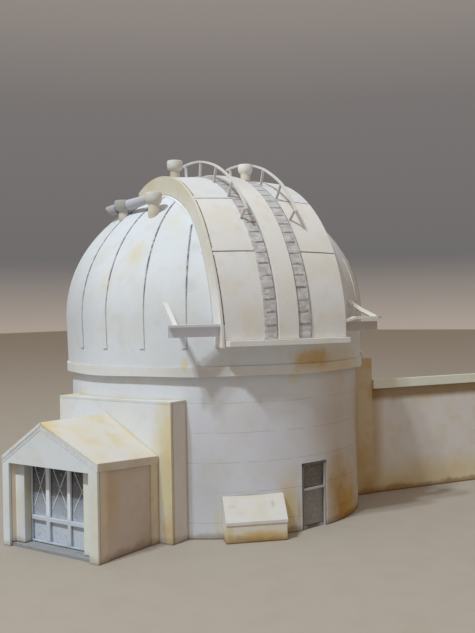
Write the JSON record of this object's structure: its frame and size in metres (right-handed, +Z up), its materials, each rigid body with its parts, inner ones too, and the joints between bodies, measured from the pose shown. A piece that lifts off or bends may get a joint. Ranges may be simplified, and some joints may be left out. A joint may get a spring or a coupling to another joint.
{
  "type": "card scale model of a domed observatory",
  "caption": "Card scale model of a domed observatory: round drum, turning dome with a closed shutter, gabled porch, lean-to and flat-roofed wing.",
  "frame": {"origin": "centre of the underside of the drum's floor, on the drum's axis at table level", "axes": "+Z up along the drum's axis; -Y out of the porch's front; +X to the right of someone facing the porch"},
  "size_m": [0.1683, 0.2507, 0.1628],
  "materials": {
    "white_card": "matt white card with faint pencil lines and age stains",
    "cream_card": "matt card with a warm cast",
    "white_paper": "matt white paper strip",
    "grey_print": "speckled grey printed paper",
    "ladder_print": "pale grey printed paper with dark rungs",
    "vent_paper": "rolled cream paper",
    "grey_card": "matt grey card"
  },
  "bodies": {
    "building": {"bay_front_wall": "white_card", "bay_left_wall": "white_card", "bay_right_wall": "white_card", "bay_roof": "white_card", "drum_door": "grey_print", "drum_door_frame": "white_paper", "drum_floor": "white_card", "drum_wall_1": "white_card", "drum_wall_2": "white_card", "drum_wall_3": "white_card", "drum_wall_4": "white_card", "drum_wall_over_door": "white_card", "leanto_roof": "white_card", "leanto_walls": "cream_card", "neck_roof": "white_card", "neck_upstand": "white_paper", "neck_walls": "white_card", "porch_floor": "grey_card", "porch_front": "white_card", "porch_panes": "grey_print", "porch_pilaster_left": "white_card", "porch_pilaster_right": "white_card", "porch_roof_left": "white_card", "porch_roof_right": "white_card", "porch_screen": "white_paper", "porch_wall_left": "white_card", "porch_wall_right": "white_card", "wing_coping": "cream_card", "wing_end_wall": "white_card", "wing_roof": "white_card", "wing_wall_far": "white_card", "wing_wall_near": "white_card"},
    "dome": {"dome_apron": "white_card", "dome_shell_left": "white_card", "dome_shell_rear": "white_card", "dome_shell_right": "white_card", "ladder_band_left": "ladder_print", "ladder_band_right": "ladder_print", "platform_left": "white_paper", "platform_right": "white_paper", "railing_left": "white_paper", "railing_right": "white_paper", "shutter_cheek_left": "cream_card", "shutter_cheek_right": "cream_card", "shutter_ledge": "white_paper", "shutter_panel_lower": "white_card", "shutter_panel_middle": "white_card", "shutter_panel_upper": "white_card", "shutter_rear_plate": "cream_card", "shutter_strip": "white_card", "side_duct": "white_paper", "side_vent_front": "vent_paper", "side_vent_rear": "vent_paper", "skirt_band": "white_card", "top_vent_left": "vent_paper", "top_vent_right": "vent_paper"}
  },
  "joints": [
    {"name": "dome_turn", "type": "hinge", "parent": "building", "child": "dome", "pos_m": [0, 0, 0.0679], "axis": [0, 0, 1], "continuous": true}
  ]
}
